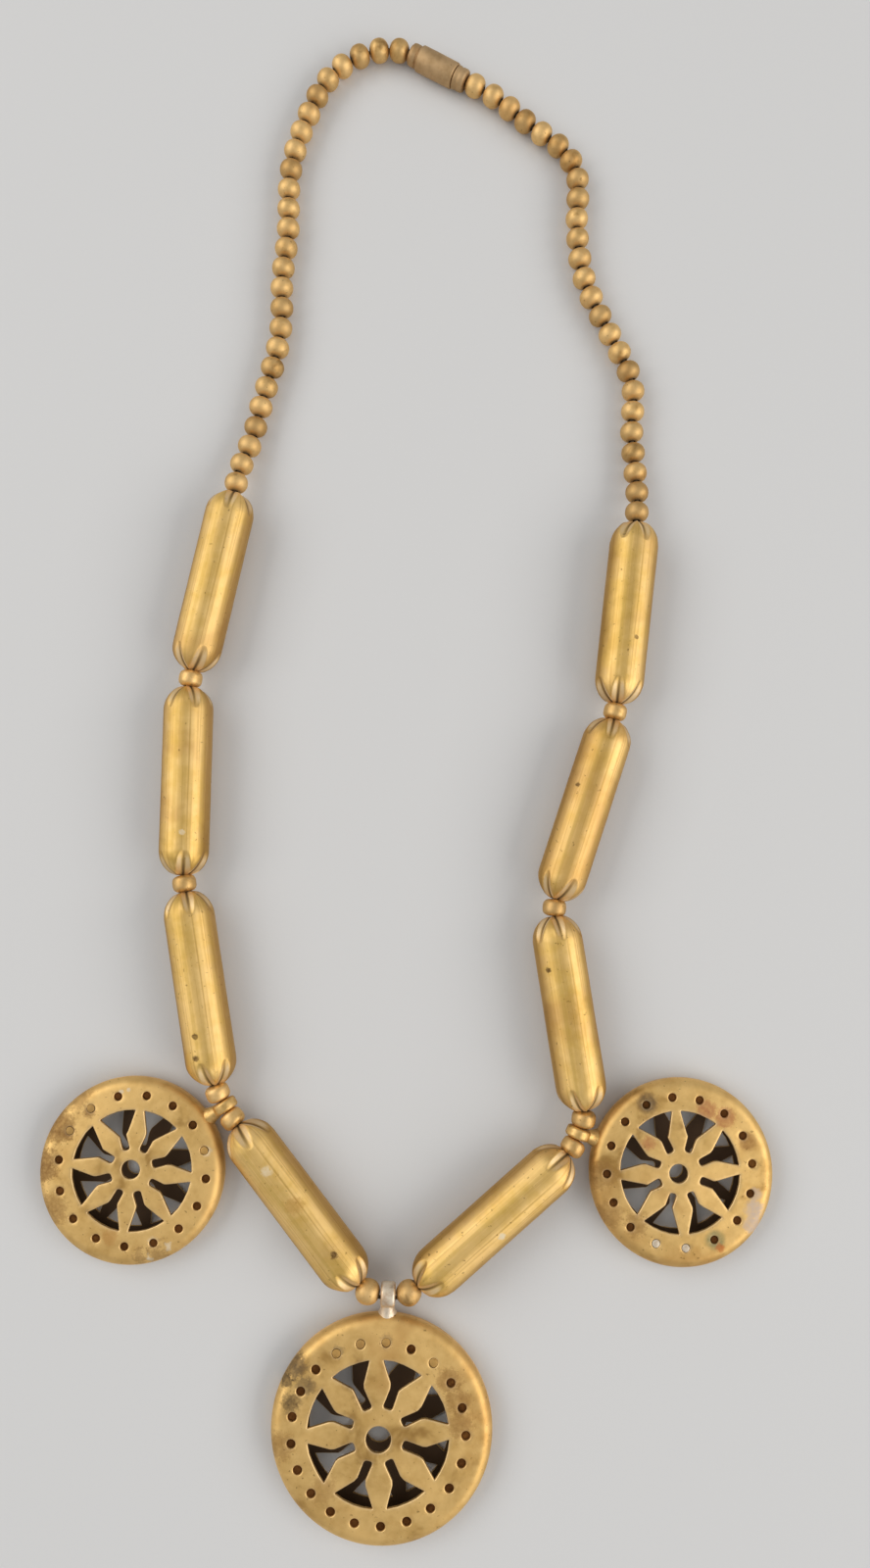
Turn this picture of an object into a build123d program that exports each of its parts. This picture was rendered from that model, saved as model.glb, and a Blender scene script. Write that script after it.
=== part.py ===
from build123d import *
import os
from math import asin, atan2, cos, floor, hypot, pi, radians, sin
from typing import NamedTuple

# Round brass beads of the two strings that run up to the clasp
bead_diameter = 4.2
bead_length = 3.56
bead_hole = 1.2

# Long tube beads of rolled sheet, their ends crimped shut into six petals
tube_diameter = 8.4
tube_length = 32.0
tube_wall = 0.5
dome_length = 4.2
tip_diameter = 3.3
tip_wall = 1.8
tip_bore = 2.4
crimp_count = 6
crimp_length = 2.6
crimp_width = 1.0
crimp_depth = 0.75

# Short barrel beads between the tubes and beside the rings
spacer_diameter = 4.1
spacer_length = 2.5

# Thread through every hole, the gap that neighbours on it keep, how far from the last
# tube the string comes down to the floor, and the least turn in degrees at which the
# thread bends, on an arc that takes this share of the shorter run beside it
thread_diameter = 0.6
knot_diameter = 1.7
piece_gap = 0.2
descent = 11.0
least_turn = 0.2
bend_share = 0.45

# Rings that carry the pendants, soldered to their rims, and their play on the thread,
# which also rides up in the bail's hole
ring_diameter = 4.1
ring_hole = 1.7
ring_width = 1.8
ring_play = 0.15
bail_width = 2.1
bail_play = 0.6
bail_rise = 0.4
ring_edge = 0.45
ring_height = 3.8
neck_diameter = 2.6
neck_tip_diameter = 1.5

# Pendants: hollow boxes of two pressed and pierced caps
pendant_thickness = 4.7
pendant_crown = 0.5
pendant_wall = 0.6
rim_radius = 1.9
petal_count = 8
opening_corner = 0.2


class Pendant(NamedTuple):
    """What one pendant is made to, in millimetres and degrees."""

    diameter: float
    pierced_diameter: float
    hub_hole: float
    hole_circle: float
    hole_size: float
    hole_count: int
    first_hole: float
    hole_drift: float
    drift_peak: float
    petal_turn: float
    back_turn: float
    off_centre: tuple
    hub_off: tuple
    reach: float
    swing: float
    slot_start: float
    slot_width: float
    slot_flare: float
    petal_neck: float
    petal_width: float
    petal_widest: float


# The drift is how far the hand punched holes stray from even spacing, the reach is
# from the rim to the ring's centre, and the swing is how far the pendant lies off
# square to the thread. The last six are shares of the pierced circle's radius.
left_size = Pendant(
    diameter=30.4, pierced_diameter=19.5, hub_hole=3.0, hole_circle=24.3,
    hole_size=1.2, hole_count=16, first_hole=82.8, hole_drift=2.8, drift_peak=-82.0,
    petal_turn=-6.5, back_turn=17.0, off_centre=(0.3, 0.25), hub_off=(-0.15, 0.2),
    reach=3.15, swing=5.8, slot_start=0.355, slot_width=0.13, slot_flare=0.06,
    petal_neck=0.15, petal_width=0.32, petal_widest=0.64)
right_size = left_size._replace(
    pierced_diameter=19.6, hole_circle=24.0, first_hole=93.9, hole_drift=2.6,
    drift_peak=20.0, petal_turn=2.5, back_turn=14.0, off_centre=(-0.45, 0.25),
    hub_off=(-0.3, -0.15), reach=2.7, swing=2.9)
centre_size = left_size._replace(
    diameter=35.8, pierced_diameter=22.8, hub_hole=4.0, hole_circle=28.1,
    hole_size=1.4, hole_count=21, first_hole=84.1, hole_drift=1.0, drift_peak=60.0,
    petal_turn=1.5, back_turn=16.0, off_centre=(-0.5, -0.25), hub_off=(0.05, -0.75),
    reach=2.2, swing=-0.8, slot_start=0.37, slot_width=0.125, petal_neck=0.20,
    petal_width=0.38, petal_widest=0.68)

# Screw clasp: a barrel with a narrow neck, and an end piece whose hollow stud enters it
clasp_diameter = 4.6
barrel_length = 9.3
barrel_neck_diameter = 4.0
barrel_neck_length = 1.9
barrel_bore = 3.2
end_diameter = 4.1
end_length = 2.2
clasp_edge = 0.25
clasp_round = 0.6
clasp_wall = 0.8
stud_length = 3.4
stud_wall = 0.45
screw_clearance = 0.1

# Laid necklace, in plan: the heading in degrees of each piece beside the bail, from the
# bail outwards, and then where the strings run from the last tubes to the clasp
bail_point = (-7.3, -63.0)
bail_heading = -2.0
clasp_point = (0.8, 153.0)
clasp_heading = -29.0
left_headings = [
    145.86, 128.20, 133.36, 118.84, 112.34, 99.72, 100.56, 89.40, 82.11, 77.88]
right_headings = [
    31.21, 40.55, 54.55, 66.13, 82.79, 98.51, 84.44, 71.37, 77.00, 83.02]
left_string_route = [
    (-34.5, 72.0), (-34.2, 75.4), (-32.3, 81.0), (-30.5, 88.5), (-28.3, 96.6),
    (-27.0, 104.5), (-27.1, 112.2), (-26.1, 120.5), (-26.1, 129.2), (-25.0, 137.0),
    (-22.0, 145.4), (-20.4, 148.9), (-18.2, 152.0), (-15.2, 154.3), (-11.8, 156.0),
    (-8.1, 156.6)]
right_string_route = [
    (35.2, 66.8), (35.6, 71.5), (35.3, 79.0), (35.1, 86.4), (35.6, 91.4),
    (33.3, 98.2), (29.8, 105.4), (26.9, 112.6), (26.0, 119.0), (25.9, 125.6),
    (26.3, 131.0), (24.3, 136.2), (18.3, 141.1), (11.4, 147.1)]

bead_radius = bead_diameter / 2
tube_radius = tube_diameter / 2
clasp_radius = clasp_diameter / 2
up = Vector(0, 0, 1)


class Row(NamedTuple):
    """One piece on the thread beside the bail, and the thread's height past it."""

    name: str
    length: float
    diameter: float
    end_height: float


side_rows = [
    Row("bail_bead", bead_length, bead_diameter, tube_radius),
    Row("tube_1", tube_length, tube_diameter, tube_radius),
    Row("inner_bead", spacer_length, spacer_diameter, ring_height),
    Row("ring", ring_width + 2 * ring_play, ring_diameter, ring_height),
    Row("outer_bead", spacer_length, spacer_diameter, tube_radius),
    Row("tube_2", tube_length, tube_diameter, tube_radius),
    Row("middle_bead", spacer_length, spacer_diameter, tube_radius),
    Row("tube_3", tube_length, tube_diameter, tube_radius),
    Row("upper_bead", spacer_length, spacer_diameter, tube_radius),
    Row("tube_4", tube_length, tube_diameter, tube_radius)]
ring_row = 3


def heading(angle):
    return Vector(cos(radians(angle)), sin(radians(angle)))


def flat(point):
    return Vector(point.X, point.Y)


def walk(start, headings):
    """Joints between the pieces of one side, each piece laid on its own heading."""
    joints = [start]
    for row, angle in zip(side_rows, headings):
        rise = row.end_height - joints[-1].Z
        reach = ((row.length + piece_gap) ** 2 - rise**2) ** 0.5
        joints.append(joints[-1] + heading(angle) * reach + up * rise)
    return joints


def tube_shift(tube_end, route):
    """How far the last tube ends from where the string's route starts."""
    return flat(tube_end) - Vector(*route[0])


def string_joints(tube_end, route, clasp_end):
    """Joints of as many beads as fit from the last tube to the clasp, evenly spread.

    The route goes along with the last tube at one end and with the clasp at the other.
    """
    shift = tube_shift(tube_end, route)
    bends = []
    for number, point in enumerate(route[1:], 1):
        share = number / len(route)
        bends.append(Vector(*point) + shift * (1 - share) + clasp_shift * share)
    with BuildLine() as run:
        Spline(flat(tube_end), *bends, flat(clasp_end))
    thread_run = run.edge()
    count = floor(thread_run.length / (bead_length + piece_gap))
    pitch = thread_run.length / count
    joints = [tube_end]
    for number in range(1, count):
        plan = thread_run.position_at(number * pitch, position_mode=PositionMode.LENGTH)
        drop = max(0, 1 - number * pitch / descent)
        joints.append(plan + up * (bead_radius + (tube_radius - bead_radius) * drop))
    return joints + [clasp_end]


bail_half = heading(bail_heading) * (bail_width / 2 + bail_play + piece_gap / 2)
bail_middle = Vector(*bail_point) + up * ring_height
thread_middle = bail_middle + heading(bail_heading + 90) * bail_rise
left_joints = walk(thread_middle - bail_half, left_headings)
right_joints = walk(thread_middle + bail_half, right_headings)

clasp_length = barrel_length + screw_clearance + end_length
clasp_half = heading(clasp_heading) * ((clasp_length + piece_gap) / 2)
clasp_shift = (tube_shift(left_joints[-1], left_string_route)
               + tube_shift(right_joints[-1], right_string_route)) * 0.5
clasp_middle = Vector(*clasp_point) + clasp_shift + up * clasp_radius
left_string = string_joints(left_joints[-1], left_string_route, clasp_middle - clasp_half)
right_string = string_joints(right_joints[-1], right_string_route, clasp_middle + clasp_half)


def pendant_foot(start, end, size, side):
    """Where a pendant's axis meets the floor, hung from its ring on one side of the run."""
    run = end - start
    outward = Vector(-run.Y, run.X).normalized() * side
    hang = outward.rotate(Axis.Z, size.swing) * (size.diameter / 2 + size.reach)
    return flat((start + end) * 0.5) + hang


left_ring = left_joints[ring_row:ring_row + 2]
right_ring = right_joints[ring_row:ring_row + 2]
bail = [bail_middle - bail_half, bail_middle + bail_half]
left_foot = pendant_foot(*left_ring, left_size, 1)
right_foot = pendant_foot(*right_ring, right_size, -1)
centre_foot = pendant_foot(*bail, centre_size, -1)

# The origin is on the floor under the middle of the whole outline
low_x = left_foot.X - left_size.diameter / 2
high_x = right_foot.X + right_size.diameter / 2
low_y = centre_foot.Y - centre_size.diameter / 2
high_y = max((a.Y + b.Y) / 2 for a, b in zip(left_string, left_string[1:])) + bead_radius
origin = Vector((low_x + high_x) / 2, (low_y + high_y) / 2)


def moved(points):
    return [point - origin for point in points]


def between(start, end):
    """Plane of a round piece on the thread: x runs along its hole, y points upwards."""
    run = end - start
    return Plane(origin=(start + end) * 0.5, x_dir=run, z_dir=run.cross(up))


def hole_axis(place):
    return Axis(place.origin, place.x_dir)


def write(name, piece):
    piece.part.label = name
    export_step(piece.part, f"parts/{name}.step")


def half_bead(place, length, diameter):
    """Half section of a round bead, down to its drilled hole."""
    with BuildSketch(place) as half:
        Ellipse(length / 2, diameter / 2)
        with Locations((0, bead_hole / 2)):
            Rectangle(length, diameter, align=(Align.CENTER, Align.MIN), mode=Mode.INTERSECT)
    return half.sketch


def make_bead(name, start, end, row):
    place = between(start, end)
    with BuildPart() as bead:
        revolve(half_bead(place, row.length, row.diameter), axis=hole_axis(place))
    write(name, bead)


def make_string(name, joints):
    with BuildPart() as bead_string:
        for start, end in zip(joints, joints[1:]):
            place = between(start, end)
            revolve(half_bead(place, bead_length, bead_diameter), axis=hole_axis(place))
    write(name, bead_string)


def half_tube(place, end_x, body_x, radius, tip_radius, hole_radius):
    """Half section of a round tube whose ends draw in along an arc."""
    with BuildSketch(place) as half:
        with BuildLine():
            Polyline((-end_x, tip_radius), (-end_x, hole_radius), (end_x, hole_radius),
                     (end_x, tip_radius))
            TangentArc((body_x, radius), (end_x, tip_radius), tangent=(1, 0))
            Line((body_x, radius), (-body_x, radius))
            TangentArc((-body_x, radius), (-end_x, tip_radius), tangent=(-1, 0))
        make_face()
    return half.sketch


def surface_radius(from_tip):
    """The domed end's radius, some way in from its tip."""
    rise = tube_radius - tip_diameter / 2
    arc = (dome_length**2 + rise**2) / (2 * rise)
    return tube_radius - arc + (arc**2 - (dome_length - from_tip) ** 2) ** 0.5


def crimp_climb():
    """Along and out of the floor of one slit, from the tip to where it runs out."""
    return Vector(-crimp_length, surface_radius(crimp_length) - tip_diameter / 2 + crimp_depth)


def crimp_planes(place):
    """Planes square to the floors of all slits, each a slit's length outside its tip."""
    planes = []
    for side in (-1, 1):
        tipward = place.x_dir * side
        for number in range(crimp_count):
            angle = radians((number + 0.5) * 360 / crimp_count)
            outward = place.y_dir * cos(angle) + place.z_dir * sin(angle)
            tip = tipward * (tube_length / 2) + outward * (tip_diameter / 2 - crimp_depth)
            climb = tipward * crimp_climb().X + outward * crimp_climb().Y
            planes.append(Plane(origin=place.origin + tip - climb,
                                x_dir=tipward.cross(outward), z_dir=climb))
    return planes


def make_tube(name, start, end):
    """A tube bead, hollow between its crimped ends."""
    place = between(start, end)
    half = tube_length / 2
    body = half - dome_length
    with BuildPart() as tube:
        revolve(half_tube(place, half, body, tube_radius, tip_diameter / 2, bead_hole / 2),
                axis=hole_axis(place))
        with BuildSketch(*crimp_planes(place)):
            with BuildLine():
                Polyline((0, 0), (crimp_width, 2 * crimp_depth),
                         (-crimp_width, 2 * crimp_depth), close=True)
            make_face()
        extrude(amount=2 * crimp_climb().length, mode=Mode.SUBTRACT)
        revolve(half_tube(place, half - tip_wall, body, tube_radius - tube_wall,
                          tip_bore / 2, 0), axis=hole_axis(place), mode=Mode.SUBTRACT)
    write(name, tube)


def half_drum(place, radius, rim, low, high):
    """Half section of a pendant: flat back, rounded rim and slightly crowned front."""
    with BuildSketch(place) as half:
        with BuildLine():
            Polyline((0, high + pendant_crown), (0, low), (radius - rim, low))
            TangentArc((radius - rim, low), (radius, low + rim), tangent=(1, 0))
            Line((radius, low + rim), (radius, high - rim))
            TangentArc((radius, high - rim), (radius - rim, high), tangent=(0, 1))
            TangentArc((0, high + pendant_crown), (radius - rim, high), tangent=(1, 0))
        make_face()
    return half.sketch


def opening(size):
    """One opening between two petals: a slot from the hub, flaring to the pierced circle."""
    pierced = size.pierced_diameter / 2
    step = pi / petal_count
    widest = hypot(size.petal_widest, size.petal_width / 2)
    shoulder = step - atan2(size.petal_width / 2, size.petal_widest)
    flare = (widest * cos(shoulder), widest * sin(shoulder))
    corner = step - asin(size.petal_neck / 2)
    side = [(size.slot_start, size.slot_width / 2),
            (flare[0] - size.slot_flare, size.slot_width / 2), flare,
            (cos(corner), sin(corner))]
    upper = [Vector(x, y) * pierced for x, y in side]
    lower = [Vector(x, -y) * pierced for x, y in side]
    with BuildSketch(mode=Mode.PRIVATE) as cut:
        with BuildLine():
            Polyline(*reversed(upper), *lower)
            ThreePointArc(upper[-1], (pierced, 0), lower[-1])
        make_face()
        fillet(cut.vertices(), radius=opening_corner)
    return cut.sketch


def cap_pattern(place, size, turn):
    """The openings and the hub hole that are pierced in both caps."""
    cut = opening(size)
    with BuildSketch(place) as pattern:
        with PolarLocations(0, petal_count, start_angle=turn + 180 / petal_count):
            add(cut)
        with Locations(size.hub_off):
            Circle(size.hub_hole / 2)
    return pattern.sketch


def hole_row(place, size):
    """The row of small holes round the front cap, punched by eye."""
    with BuildSketch(place) as row:
        for number in range(size.hole_count):
            even = size.first_hole - number * 360 / size.hole_count
            angle = even + size.hole_drift * cos(radians(even - size.drift_peak))
            with Locations(heading(angle) * (size.hole_circle / 2)):
                Circle(size.hole_size / 2)
    return row.sketch


def make_pendant(name, foot, start, end, width, size):
    """A hollow pierced pendant, with the ring and the solder neck that carry it."""
    radius = size.diameter / 2
    edge_height = pendant_thickness - pendant_crown
    section = Plane(origin=foot, x_dir=(1, 0, 0), z_dir=(0, -1, 0))
    drum_axis = Axis(foot, up)
    middle = Plane(origin=foot + up * (pendant_thickness / 2) + Vector(*size.off_centre))
    ring_place = between(start, end)
    to_ring = (flat(ring_place.origin) - foot).normalized()
    root = foot + to_ring * (radius - 0.8 * pendant_wall) + up * (edge_height / 2)
    neck = ring_place.origin - root
    front = cap_pattern(middle, size, size.petal_turn)
    back = cap_pattern(middle, size, size.petal_turn + size.back_turn)
    with BuildPart() as pendant:
        revolve(half_drum(section, radius, rim_radius, 0, edge_height), axis=drum_axis)
        revolve(half_drum(section, radius - pendant_wall, rim_radius - pendant_wall,
                          pendant_wall, edge_height - pendant_wall),
                axis=drum_axis, mode=Mode.SUBTRACT)
        extrude(front, amount=pendant_thickness, mode=Mode.SUBTRACT)
        extrude(hole_row(middle, size), amount=pendant_thickness, mode=Mode.SUBTRACT)
        extrude(back, amount=-pendant_thickness, mode=Mode.SUBTRACT)
        with BuildSketch(Plane(origin=root, z_dir=neck)):
            Circle(neck_diameter / 2)
        with BuildSketch(Plane(origin=ring_place.origin, z_dir=neck)):
            Circle(neck_tip_diameter / 2)
        loft()
        with BuildSketch(ring_place) as ring:
            with Locations((0, ring_hole / 2)):
                Rectangle(width, (ring_diameter - ring_hole) / 2,
                          align=(Align.CENTER, Align.MIN))
            fillet(ring.vertices().sort_by(Axis.Y)[-2:], radius=ring_edge)
        revolve(axis=hole_axis(ring_place))
        with BuildSketch(Plane(origin=ring_place.origin, z_dir=ring_place.x_dir)):
            Circle(ring_hole / 2)
        extrude(amount=width, both=True, mode=Mode.SUBTRACT)
    write(name, pendant)


def make_clasp(start, end):
    """The two pieces of the screw clasp, closed, along one axis."""
    place = between(start, end)
    half = clasp_length / 2
    hole = bead_hole / 2
    neck = barrel_neck_diameter / 2
    bore = barrel_bore / 2
    mouth = barrel_length - half
    with BuildPart() as barrel:
        with BuildSketch(place) as profile:
            with BuildLine():
                Polyline((-half, hole), (-half, neck), (barrel_neck_length - half, neck),
                         (barrel_neck_length - half, clasp_radius), (mouth, clasp_radius),
                         (mouth, bore), (clasp_wall - half, bore), (clasp_wall - half, hole),
                         close=True)
            make_face()
            fillet(profile.vertices().sort_by(Axis.Y)[-2:], radius=clasp_edge)
            fillet(profile.vertices().group_by(Axis.X)[0].sort_by(Axis.Y)[-1], radius=clasp_round)
        revolve(axis=hole_axis(place))
    write("clasp_barrel", barrel)

    collar = half - end_length
    stud = bore - screw_clearance
    with BuildPart() as screw_end:
        with BuildSketch(place) as profile:
            with BuildLine():
                Polyline((half, hole), (half, end_diameter / 2), (collar, end_diameter / 2),
                         (collar, stud), (collar - stud_length, stud),
                         (collar - stud_length, stud - stud_wall),
                         (half - clasp_wall, stud - stud_wall), (half - clasp_wall, hole),
                         close=True)
            make_face()
            fillet(profile.vertices().sort_by(Axis.Y)[-2:].sort_by(Axis.X)[-1], radius=clasp_round)
        revolve(axis=hole_axis(place))
    write("clasp_screw_end", screw_end)


def make_thread(joints):
    """The thread, bent on arcs as large as its runs allow, with a knot inside each end."""
    inset = piece_gap / 2 + clasp_wall + piece_gap + knot_diameter / 2
    points = list(joints)
    clasp_run = (joints[0] - joints[-1]).normalized()
    points.insert(0, joints[0] - clasp_run * inset)
    points.append(joints[-1] + clasp_run * inset)
    with BuildPart() as thread:
        with BuildLine():
            here = points[0]
            for before, bend, after in zip(points, points[1:], points[2:]):
                if (bend - before).get_angle(after - bend) > least_turn:
                    share = bend_share * min((bend - before).length, (after - bend).length)
                    arrive = bend + (before - bend).normalized() * share
                    leave = bend + (after - bend).normalized() * share
                    Line(here, arrive)
                    TangentArc(arrive, leave, tangent=bend - before)
                    here = leave
            Line(here, points[-1])
        with BuildSketch(Plane(origin=points[0], z_dir=points[1] - points[0])):
            Circle(thread_diameter / 2)
        sweep()
        with Locations(points[0], points[-1]):
            Sphere(knot_diameter / 2)
    write("thread", thread)


os.makedirs("parts", exist_ok=True)
for side, joints in (("left", moved(left_joints)), ("right", moved(right_joints))):
    for row, start, end in zip(side_rows, joints, joints[1:]):
        if "tube" in row.name:
            make_tube(f"{side}_{row.name}", start, end)
        elif "bead" in row.name:
            make_bead(f"{side}_{row.name}", start, end, row)
make_string("left_bead_string", moved(left_string))
make_string("right_bead_string", moved(right_string))
make_pendant("left_pendant", left_foot - origin, *moved(left_ring), ring_width, left_size)
make_pendant("right_pendant", right_foot - origin, *moved(right_ring), ring_width, right_size)
make_pendant("centre_pendant", centre_foot - origin, *moved(bail), bail_width, centre_size)
make_clasp(*moved([left_string[-1], right_string[-1]]))
make_thread(moved(left_string[:0:-1] + left_joints[::-1] + right_joints + right_string[1:]))
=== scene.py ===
from math import atan2, cos, hypot, pi, radians, sin
from typing import NamedTuple

import bmesh
import bpy
import numpy as np
from mathutils import Matrix, Vector
from mathutils.geometry import delaunay_2d_cdt


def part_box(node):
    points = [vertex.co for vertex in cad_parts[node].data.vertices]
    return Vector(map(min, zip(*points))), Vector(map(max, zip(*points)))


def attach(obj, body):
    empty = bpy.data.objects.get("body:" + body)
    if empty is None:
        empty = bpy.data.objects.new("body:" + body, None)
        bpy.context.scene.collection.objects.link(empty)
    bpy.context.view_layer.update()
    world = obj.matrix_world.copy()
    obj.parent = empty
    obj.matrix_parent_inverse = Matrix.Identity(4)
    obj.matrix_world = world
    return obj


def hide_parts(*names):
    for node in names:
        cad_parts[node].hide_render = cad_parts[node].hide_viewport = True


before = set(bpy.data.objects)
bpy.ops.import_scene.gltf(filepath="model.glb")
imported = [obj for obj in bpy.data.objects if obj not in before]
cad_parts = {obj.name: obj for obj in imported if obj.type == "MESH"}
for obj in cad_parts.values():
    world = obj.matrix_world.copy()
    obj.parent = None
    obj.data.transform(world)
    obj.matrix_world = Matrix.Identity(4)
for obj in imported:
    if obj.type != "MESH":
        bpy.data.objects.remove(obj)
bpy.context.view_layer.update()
mm = 0.001

# The view from above: the necklace lies on its backs, seen from about twenty centimetres
# up, over a spot between the tubes, with the view leaning a little towards the clasp.
photo_width = 888
photo_height = 1600
focal_pixels = 1206.3
plumb_pixel = (442.0, 928.2)
camera_place = Vector((4.34, -28.72, 203.1)) * mm
sensor_size = 36.0


def added(name, data):
    """A new object in the scene."""
    thing = bpy.data.objects.new(name, data)
    bpy.context.scene.collection.objects.link(thing)
    return thing


camera_data = bpy.data.cameras.new("view_from_above")
camera_data.sensor_width = sensor_size
camera_data.lens = focal_pixels / photo_height * sensor_size
camera_data.clip_start = 0.01
camera = added("view_from_above", camera_data)
skyward = -Vector((plumb_pixel[0] - photo_width / 2, photo_height / 2 - plumb_pixel[1],
                   -focal_pixels)).normalized()
claspward = (Vector((0, 1, 0)) - skyward * skyward.y).normalized()
view_turn = Matrix((claspward.cross(skyward), claspward, skyward))
camera.matrix_world = Matrix.Translation(camera_place) @ view_turn.to_4x4()
bpy.context.scene.camera = camera


# The thread: one twisted cotton cord through every hole, dark with wear and knotted
# inside the clasp. It shows only between the rings and the beads beside them.
thread_dark = (0.055, 0.035, 0.018, 1)
thread_light = (0.16, 0.11, 0.06, 1)
thread_rough = 0.9
strands_per_metre = 2600.0
strand_height = 0.04 * mm


class Wire:
    """One output in a node tree. Sums written with it add the Math nodes they need."""

    def __init__(self, maker, socket):
        self.maker = maker
        self.socket = socket

    def __add__(self, other):
        return self.maker.maths("ADD", self, other)

    def __radd__(self, other):
        return self.maker.maths("ADD", other, self)

    def __sub__(self, other):
        return self.maker.maths("SUBTRACT", self, other)

    def __rsub__(self, other):
        return self.maker.maths("SUBTRACT", other, self)

    def __mul__(self, other):
        return self.maker.maths("MULTIPLY", self, other)

    def __truediv__(self, other):
        return self.maker.maths("DIVIDE", self, other)

    def __rtruediv__(self, other):
        return self.maker.maths("DIVIDE", other, self)

    def __pow__(self, other):
        return self.maker.maths("POWER", self, other)

    def other(self, output):
        """Another output of the same node."""
        return Wire(self.maker, self.socket.node.outputs[output])


class Maker:
    """Adds the nodes of one tree."""

    def __init__(self, tree):
        self.tree = tree

    def add(self, kind, inputs=None, output=0, **settings):
        """One output of a node of some kind, with its inputs' values or links and its settings."""
        node = self.tree.nodes.new(kind)
        for name, value in settings.items():
            setattr(node, name, value)
        for name, value in (inputs or {}).items():
            if isinstance(value, Wire):
                self.tree.links.new(value.socket, node.inputs[name])
            else:
                node.inputs[name].default_value = value
        return Wire(self, node.outputs[output]) if node.outputs else node

    def maths(self, operation, *values):
        """One step of arithmetic."""
        return self.add("ShaderNodeMath", dict(enumerate(values)), operation=operation)

    def vectors(self, operation, *values, output=0):
        """One step of vector arithmetic."""
        return self.add("ShaderNodeVectorMath", dict(enumerate(values)), output,
                        operation=operation)

    def joined(self, *parts):
        """A vector from its three parts."""
        return self.add("ShaderNodeCombineXYZ", dict(enumerate(parts)))

    def mix(self, share, first, second):
        """Two colours mixed."""
        return self.add("ShaderNodeMix", {0: share, 6: first, 7: second}, 2, data_type="RGBA")

    def noise(self, place, scale, detail=3.0, roughness=0.55, distortion=0.0):
        """A cloudy pattern of values from 0 to 1."""
        return self.add("ShaderNodeTexNoise", {"Vector": place, "Scale": scale, "Detail": detail,
                                               "Roughness": roughness, "Distortion": distortion})

    def between(self, value, low, high):
        """A value's place between two limits, eased and kept inside them."""
        return self.add("ShaderNodeMapRange", {"Value": value, "From Min": low, "From Max": high},
                        interpolation_type="SMOOTHSTEP")

    def stretched(self, place, scale):
        """A pattern's place, stretched along its axes."""
        return self.add("ShaderNodeMapping", {"Vector": place, "Scale": scale})


def new_material(name):
    """An empty material and the maker of its tree."""
    material = bpy.data.materials.new(name)
    material.use_nodes = True
    material.node_tree.nodes.clear()
    return material, Maker(material.node_tree)


def surface(maker, colour, rough, metal, bump):
    """The shader at the end of a material's tree, with its relief in metres."""
    relief = maker.add("ShaderNodeBump", {"Height": bump, "Distance": 1.0, "Strength": 1.0})
    shader = maker.add("ShaderNodeBsdfPrincipled", {"Base Color": colour, "Roughness": rough,
                                                    "Metallic": metal, "Normal": relief})
    maker.add("ShaderNodeOutputMaterial", {"Surface": shader})


thread_material, make = new_material("worn_cotton")
place = make.add("ShaderNodeTexCoord", output="Object")
twist = (strands_per_metre, strands_per_metre, strands_per_metre * 2)
strands = make.noise(make.stretched(place, twist), 1.0, 2.0)
surface(make, make.mix(strands, thread_dark, thread_light), thread_rough, 0.0,
        strands * strand_height)
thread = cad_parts["thread"]
thread.data.materials.clear()
thread.data.materials.append(thread_material)


# Bead strings: round cast brass beads, drilled and strung, no two quite alike. The aged
# brass of every piece starts here: satin metal, with painted shade and dirt in its hollows.
bead_length = 3.68
bead_diameter = 4.2
bead_hole = 1.2
bead_fullness = 2.2
bead_steps = 18
grains_per_metre = 3800.0
specks_per_metre = 1500.0
lay_length = 40 * mm
weld_distance = 0.002 * mm
undented_level = 0.85
sharp_angle = 55


def colour(red, green, blue):
    """A colour read as on a screen, 0 to 255, as the light that a surface sends back."""
    parts = [value / 255 for value in (red, green, blue)]
    return [part / 12.92 if part <= 0.04045 else ((part + 0.055) / 1.055) ** 2.4
            for part in parts] + [1]


class Mark(NamedTuple):
    """One mark, such as stains, scuffs, painted glints and painted shade: its middle and reach in mm
    in plan, and what it looks like.
    """

    x: float
    y: float
    reach: float
    strength: float
    tone: tuple
    raggedness: float = 1.0


class Layer(NamedTuple):
    """A layer of age or painted reflection: where a pattern's values start it and make it full,
    how much it covers there, and its tone on a screen unless the piece's darkest tone is meant."""

    start: float
    full: float
    cover: float
    tone: tuple = None


cloud = Layer(0.42, 0.28, 0.70)
rolled_cloud = Layer(0.42, 0.28, 0.35)
scratch = Layer(0.50, 0.68, 0.40)
warm = Layer(0.50, 0.72, 0.45, (184, 132, 66))
speckle = Layer(0.67, 0.76, 0.55, (112, 80, 34))
band = Layer(0.48, 0.66, 0.45, (178, 146, 66))
# Painted reflection: a dark olive line along the top of each tube.
painted_top_reflection = Layer(-0.965, -0.995, 0.28, (174, 140, 58))
# Painted reflection: darker brown on each tube's lower sides, as if they mirrored a dark floor.
painted_side_reflection = Layer(-0.80, -0.35, 0.60, (158, 114, 54))
stain_and_painted_light = Layer(1.15, 0.55, 1.25)
wear_and_highlight_tone, wear_and_highlight_cover = (244, 220, 178), 0.65
shade_and_dirt_tone = (84, 60, 34)
tint_cover = 0.45


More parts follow.
